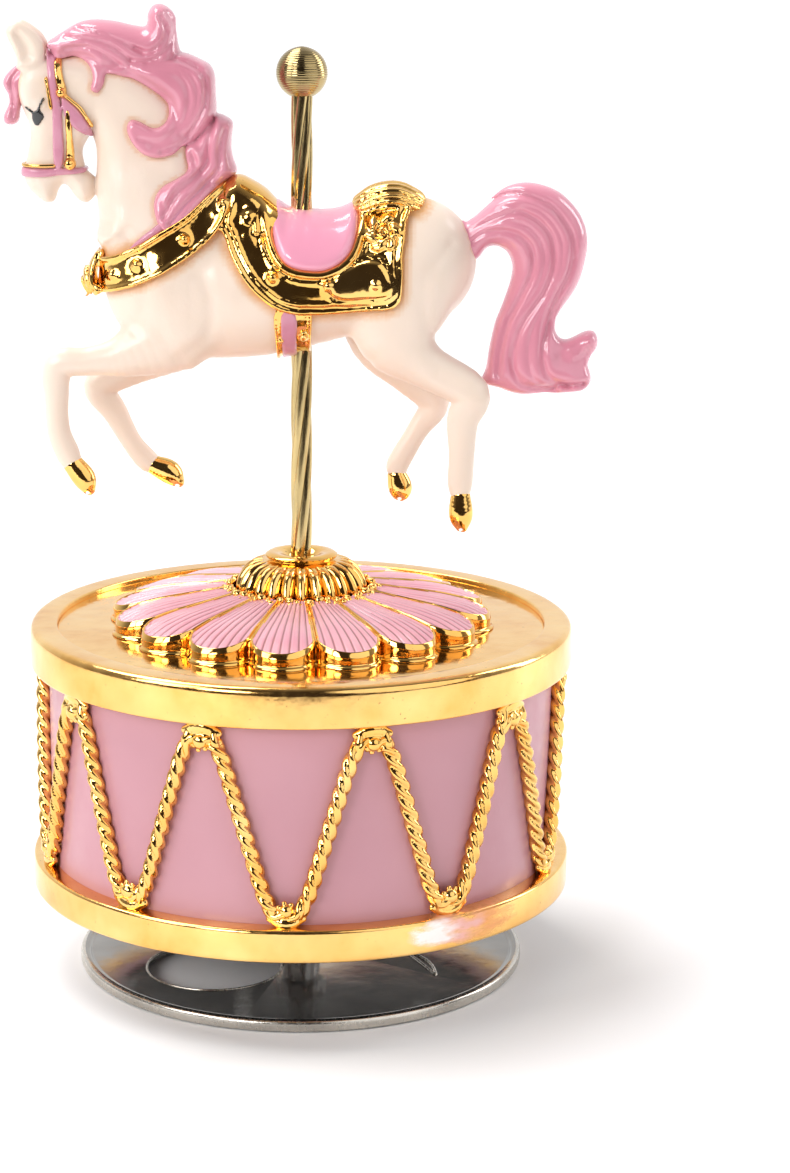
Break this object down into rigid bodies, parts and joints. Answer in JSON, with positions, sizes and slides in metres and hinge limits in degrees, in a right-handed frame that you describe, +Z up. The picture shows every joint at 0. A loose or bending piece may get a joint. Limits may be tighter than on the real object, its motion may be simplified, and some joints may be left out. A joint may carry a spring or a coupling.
{
  "type": "carousel music box",
  "caption": "Prancing carousel horse on a twisted brass pole, on a laced drum that turns over a round steel plate, with a wind-up comb movement inside.",
  "frame": {"origin": "on the drum axis at the table surface, under the middle of the round plate", "axes": "+Z up along the drum axis and the pole; the horse faces -X; its near side, with the mane locks, faces -Y"},
  "size_m": [0.1068, 0.1, 0.1769],
  "materials": {
    "pressed_steel": "pressed sheet steel, dulled, with a polished turned-down edge",
    "gilt": "cast resin with mirror vacuum-metallised gold",
    "drum_pink": "cast resin with semi-gloss pink paint",
    "petal_pink": "pink enamel paint over gold relief",
    "hair_pink": "glossy pink enamel paint",
    "seat_pink": "glossy bright pink enamel paint",
    "cream": "cast resin with satin cream paint and amber shading",
    "pole_brass": "drawn and twisted brass, satin",
    "ball_brass": "turned brass with fine lathe rings",
    "movement_brass": "stamped and turned brass",
    "movement_cast": "die-cast metal, bead-blasted",
    "steel": "bright steel",
    "spring_steel": "blued spring steel",
    "cover_black": "moulded black plastic"
  },
  "bodies": {
    "turntable": {"turntable_plate": "pressed_steel", "shaft_bush": "steel", "shaft_lock_nut": "steel", "winding_shaft": "steel", "great_wheel": "movement_brass"},
    "drum": {"base_cover": "cover_black", "cover_screw_1": "steel", "cover_screw_2": "steel", "cover_screw_3": "steel", "drum_wall": "drum_pink", "lower_hoop": "gilt", "upper_hoop": "gilt", "rope_lacing": "gilt", "top_plate": "gilt", "flower_rosette": "petal_pink", "bead_ring": "gilt", "rosette_hub": "gilt", "pole": "pole_brass", "pole_nut": "steel", "ball_finial": "ball_brass", "horse_body": "cream", "mane": "hair_pink", "forelock": "hair_pink", "tail": "hair_pink", "saddle": "gilt", "saddle_seat": "seat_pink", "breast_collar": "gilt", "girth_strap": "seat_pink", "bridle": "gilt", "hoof_near_fore": "gilt", "hoof_far_fore": "gilt", "hoof_near_hind": "gilt", "hoof_far_hind": "gilt", "movement_bedplate": "movement_cast", "movement_screw_1": "steel", "movement_screw_2": "steel", "movement_screw_3": "steel", "spring_housing": "movement_cast", "housing_screw_1": "steel", "housing_screw_2": "steel", "mainspring": "spring_steel", "comb": "steel", "comb_screw_1": "steel", "comb_screw_2": "steel", "governor_frame": "movement_brass"},
    "cylinder": {"cylinder": "movement_brass", "cylinder_arbor": "steel", "cylinder_pinion": "movement_brass", "cylinder_wheel": "movement_brass"},
    "second_wheel": {"second_arbor": "steel", "second_pinion": "movement_brass", "second_wheel": "movement_brass"},
    "governor": {"governor_worm": "steel", "governor_fly": "movement_brass"}
  },
  "joints": [
    {"name": "drum_spin", "type": "hinge", "parent": "turntable", "child": "drum", "pos_m": [0, 0, 0], "axis": [0, 0, 1], "continuous": true},
    {"name": "cylinder_spin", "type": "hinge", "parent": "drum", "child": "cylinder", "pos_m": [0.02, 0, 0.0288], "axis": [1, 0, 0], "continuous": true},
    {"name": "second_wheel_spin", "type": "hinge", "parent": "drum", "child": "second_wheel", "pos_m": [0.0344, 0.0085, 0.0288], "axis": [1, 0, 0], "continuous": true},
    {"name": "governor_spin", "type": "hinge", "parent": "drum", "child": "governor", "pos_m": [0.0344, 0.015, 0.0288], "axis": [0, 0, 1], "continuous": true}
  ],
  "couplings": [
    {"joint": "cylinder_spin", "follows": "drum_spin", "ratio": -3},
    {"joint": "second_wheel_spin", "follows": "drum_spin", "ratio": 9.6},
    {"joint": "governor_spin", "follows": "drum_spin", "ratio": -192}
  ]
}
